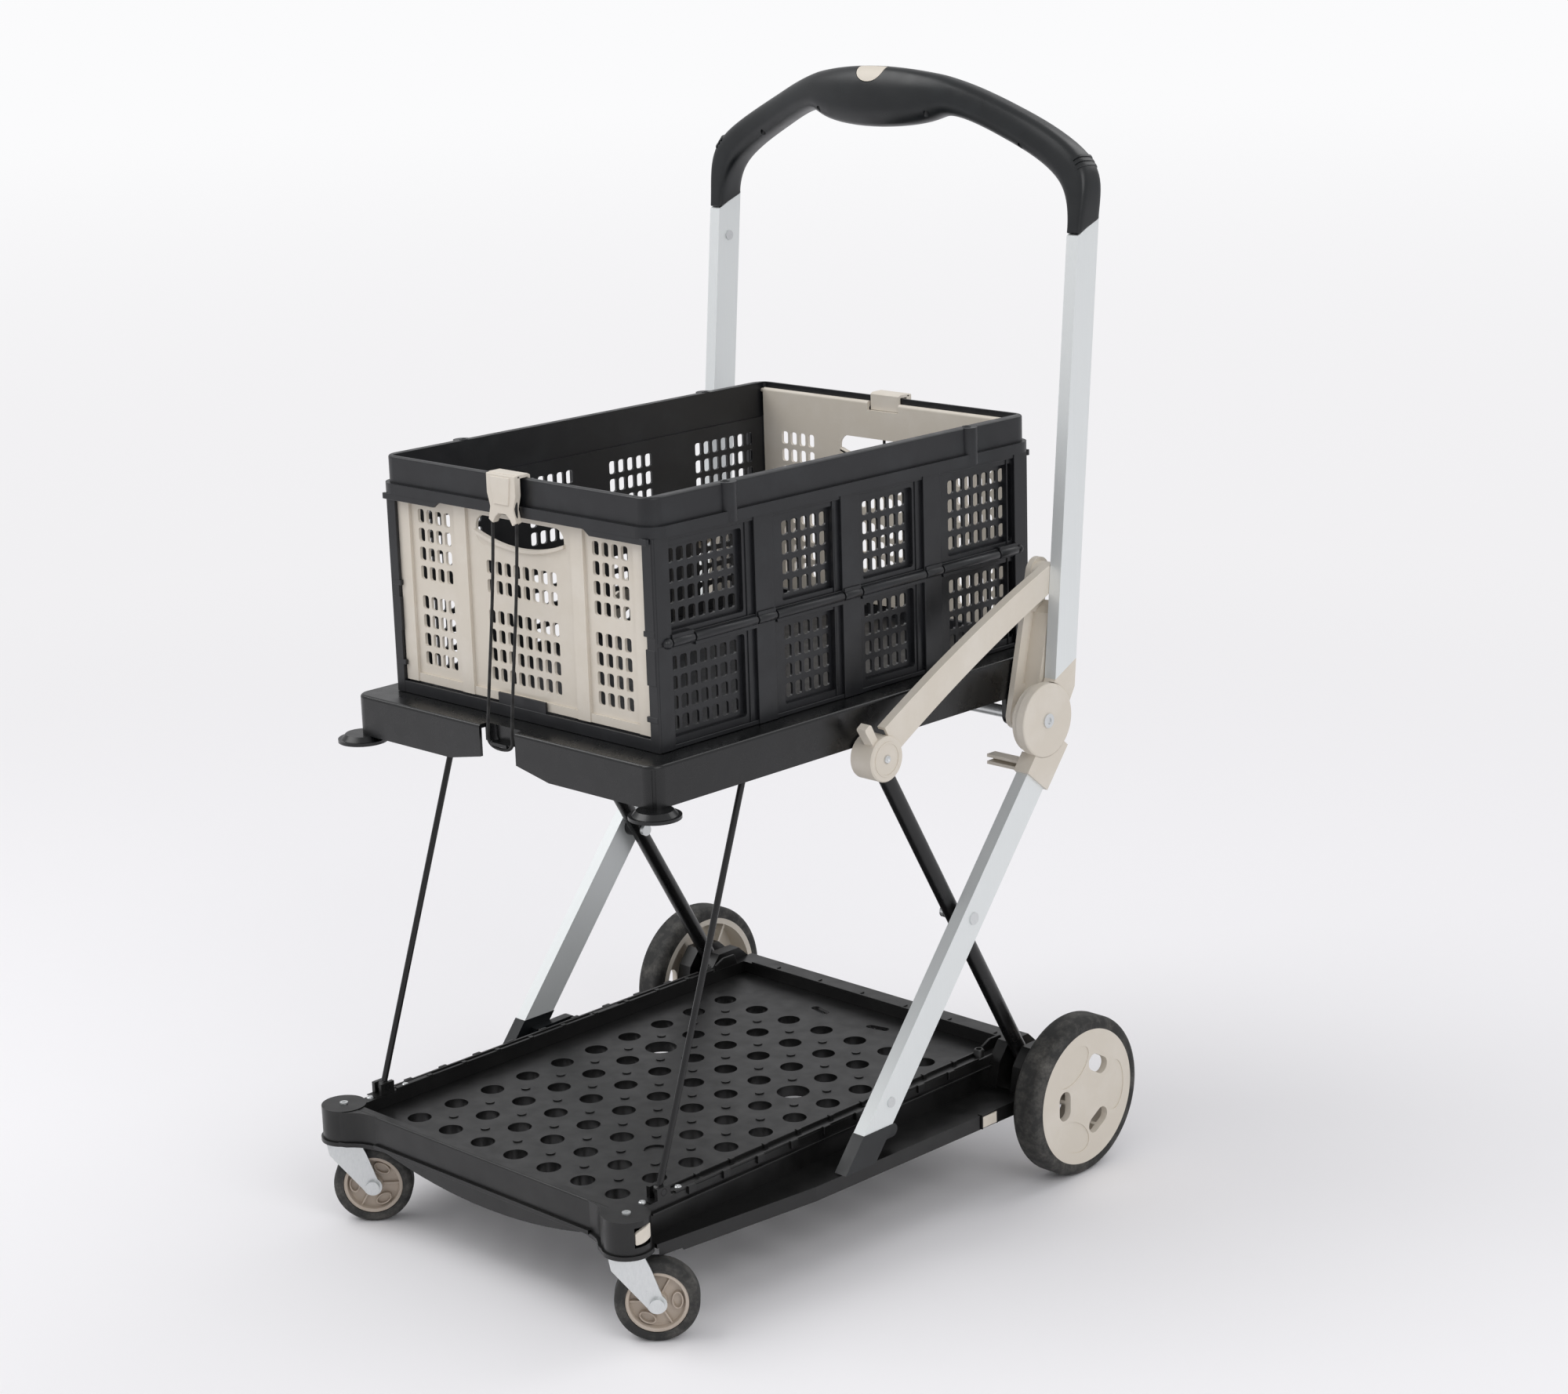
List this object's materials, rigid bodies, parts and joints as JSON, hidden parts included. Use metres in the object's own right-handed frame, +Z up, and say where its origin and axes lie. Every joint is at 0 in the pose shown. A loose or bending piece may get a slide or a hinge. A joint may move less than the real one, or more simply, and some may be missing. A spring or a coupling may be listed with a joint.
{
  "type": "folding platform cart",
  "caption": "Two-tier folding platform cart: perforated lower deck on casters and large rear wheels, scissor frame, upper tray with a strapped folding crate, and an arched push handle.",
  "frame": {"origin": "centre of the cart's overall box on the floor", "axes": "+Z up, +Y to the handle end, -Y to the casters, +X across the cart"},
  "size_m": [0.555, 0.6445, 1.0638],
  "materials": {
    "black_base_plastic": "semi-matte moulded",
    "gloss_black_plastic": "smooth glossy moulded",
    "charcoal_crate_plastic": "satin moulded",
    "charcoal_grip_plastic": "satin moulded",
    "greige_plastic": "satin moulded",
    "taupe_plastic": "satin moulded",
    "rubber_tyre": "matte rubber with dust",
    "anodised_aluminium": "satin anodised",
    "black_coated_steel": "satin powder coat",
    "zinc_plated_steel": "bright zinc",
    "elastic_cord": "braided"
  },
  "bodies": {
    "base": {"base_frame": "black_base_plastic", "deck_panel": "black_base_plastic", "rod_clips": "black_base_plastic", "base_screws": "zinc_plated_steel", "rear_axle": "zinc_plated_steel", "leg_pins": "zinc_plated_steel"},
    "inner_legs": {"inner_leg_right": "black_coated_steel", "inner_leg_left": "black_coated_steel", "leg_rollers": "zinc_plated_steel"},
    "outer_legs": {"outer_leg_right": "anodised_aluminium", "outer_leg_left": "anodised_aluminium", "foot_cap_right": "charcoal_grip_plastic", "foot_cap_left": "charcoal_grip_plastic", "knuckle_right": "greige_plastic", "knuckle_left": "greige_plastic", "knuckle_shaft": "zinc_plated_steel", "leg_screws": "zinc_plated_steel"},
    "upper_tray": {"upper_tray": "gloss_black_plastic", "tray_feet": "gloss_black_plastic", "crate_base": "charcoal_crate_plastic", "crate_hinge_pins": "charcoal_crate_plastic", "crate_rim": "charcoal_crate_plastic", "crate_side_lower_right": "charcoal_crate_plastic", "crate_side_lower_left": "charcoal_crate_plastic", "crate_side_upper_right": "charcoal_crate_plastic", "crate_side_upper_left": "charcoal_crate_plastic", "strap_clip_front": "greige_plastic", "strap_clip_rear": "greige_plastic", "strap_cord_front": "elastic_cord", "strap_cord_rear": "elastic_cord"},
    "handle": {"handle_tube_right": "anodised_aluminium", "handle_tube_left": "anodised_aluminium", "handle_bracket_right": "greige_plastic", "handle_bracket_left": "greige_plastic", "grip": "charcoal_grip_plastic", "handle_screws": "zinc_plated_steel"},
    "stay_arms": {"stay_arm_right": "greige_plastic", "stay_arm_left": "greige_plastic"},
    "front_rods": {"front_rod_right": "black_coated_steel", "front_rod_left": "black_coated_steel"},
    "crate_end_front": {"crate_end_front": "greige_plastic"},
    "crate_end_rear": {"crate_end_rear": "greige_plastic"},
    "release_button": {"release_button": "greige_plastic"},
    "caster_right": {"caster_fork_right": "zinc_plated_steel", "caster_bolt_right": "zinc_plated_steel"},
    "caster_wheel_right": {"caster_hub_right": "taupe_plastic", "caster_tyre_right": "rubber_tyre"},
    "rear_wheel_right": {"rear_hub_right": "greige_plastic", "rear_tyre_right": "rubber_tyre"},
    "turret_button_right": {"turret_button_right": "greige_plastic"},
    "side_button_right": {"side_button_right": "greige_plastic"},
    "caster_left": {"caster_fork_left": "zinc_plated_steel", "caster_bolt_left": "zinc_plated_steel"},
    "caster_wheel_left": {"caster_hub_left": "taupe_plastic", "caster_tyre_left": "rubber_tyre"},
    "rear_wheel_left": {"rear_hub_left": "greige_plastic", "rear_tyre_left": "rubber_tyre"},
    "turret_button_left": {"turret_button_left": "greige_plastic"},
    "side_button_left": {"side_button_left": "greige_plastic"}
  },
  "joints": [
    {"name": "frame_fold", "type": "hinge", "parent": "base", "child": "inner_legs", "pos_m": [0, 0.22325, 0.105], "axis": [1, 0, 0], "range_deg": [0, 48]},
    {"name": "leg_cross", "type": "hinge", "parent": "inner_legs", "child": "outer_legs", "pos_m": [0, 0.11875, 0.2888], "axis": [1, 0, 0], "range_deg": [-96, 0]},
    {"name": "tray_level", "type": "hinge", "parent": "outer_legs", "child": "upper_tray", "pos_m": [0, 0.22675, 0.459], "axis": [1, 0, 0], "range_deg": [0, 48]},
    {"name": "handle_fold", "type": "hinge", "parent": "upper_tray", "child": "handle", "pos_m": [0, 0.22675, 0.459], "axis": [1, 0, 0], "range_deg": [0, 84.24]},
    {"name": "stay_swing", "type": "hinge", "parent": "inner_legs", "child": "stay_arms", "pos_m": [0, 0.01575, 0.466], "axis": [1, 0, 0], "range_deg": [-68.11, 0]},
    {"name": "rod_swing", "type": "hinge", "parent": "base", "child": "front_rods", "pos_m": [0, -0.25435, 0.1245], "axis": [1, 0, 0], "range_deg": [-57.73, 0]},
    {"name": "crate_end_front_swing", "type": "hinge", "parent": "upper_tray", "child": "crate_end_front", "pos_m": [0, -0.21095, 0.731], "axis": [1, 0, 0], "range_deg": [0, 86]},
    {"name": "crate_end_rear_swing", "type": "hinge", "parent": "upper_tray", "child": "crate_end_rear", "pos_m": [0, 0.27445, 0.731], "axis": [-1, 0, 0], "range_deg": [0, 86]},
    {"name": "release_press", "type": "slide", "parent": "handle", "child": "release_button", "axis": [0, 0.996, -0.0894], "range_m": [0, 0.003], "stiffness_N_per_m": 900},
    {"name": "caster_swivel_right", "type": "hinge", "parent": "base", "child": "caster_right", "pos_m": [0.1967, -0.29875, 0.084], "axis": [0, 0, 1], "continuous": true},
    {"name": "caster_spin_right", "type": "hinge", "parent": "caster_right", "child": "caster_wheel_right", "pos_m": [0.21367, -0.28178, 0.038], "axis": [-0.7071, 0.7071, 0], "continuous": true},
    {"name": "rear_spin_right", "type": "hinge", "parent": "base", "child": "rear_wheel_right", "pos_m": [0.262, 0.24225, 0.08], "axis": [1, 0, 0], "continuous": true},
    {"name": "turret_press_right", "type": "slide", "parent": "base", "child": "turret_button_right", "axis": [-1, 0, 0], "range_m": [0, 0.003], "stiffness_N_per_m": 800},
    {"name": "side_press_right", "type": "slide", "parent": "base", "child": "side_button_right", "axis": [-1, 0, 0], "range_m": [0, 0.003], "stiffness_N_per_m": 800},
    {"name": "caster_swivel_left", "type": "hinge", "parent": "base", "child": "caster_left", "pos_m": [-0.1967, -0.29875, 0.084], "axis": [0, 0, 1], "continuous": true},
    {"name": "caster_spin_left", "type": "hinge", "parent": "caster_left", "child": "caster_wheel_left", "pos_m": [-0.17973, -0.28178, 0.038], "axis": [-0.7071, 0.7071, 0], "continuous": true},
    {"name": "rear_spin_left", "type": "hinge", "parent": "base", "child": "rear_wheel_left", "pos_m": [-0.262, 0.24225, 0.08], "axis": [1, 0, 0], "continuous": true},
    {"name": "turret_press_left", "type": "slide", "parent": "base", "child": "turret_button_left", "axis": [1, 0, 0], "range_m": [0, 0.003], "stiffness_N_per_m": 800},
    {"name": "side_press_left", "type": "slide", "parent": "base", "child": "side_button_left", "axis": [1, 0, 0], "range_m": [0, 0.003], "stiffness_N_per_m": 800}
  ],
  "couplings": [
    {"joint": "leg_cross", "follows": "frame_fold", "ratio": -2},
    {"joint": "tray_level", "follows": "frame_fold", "ratio": 1},
    {"joint": "handle_fold", "follows": "frame_fold", "ratio": 1.7548},
    {"joint": "stay_swing", "follows": "frame_fold", "ratio": -1.4188},
    {"joint": "rod_swing", "follows": "frame_fold", "ratio": -1.2025}
  ]
}
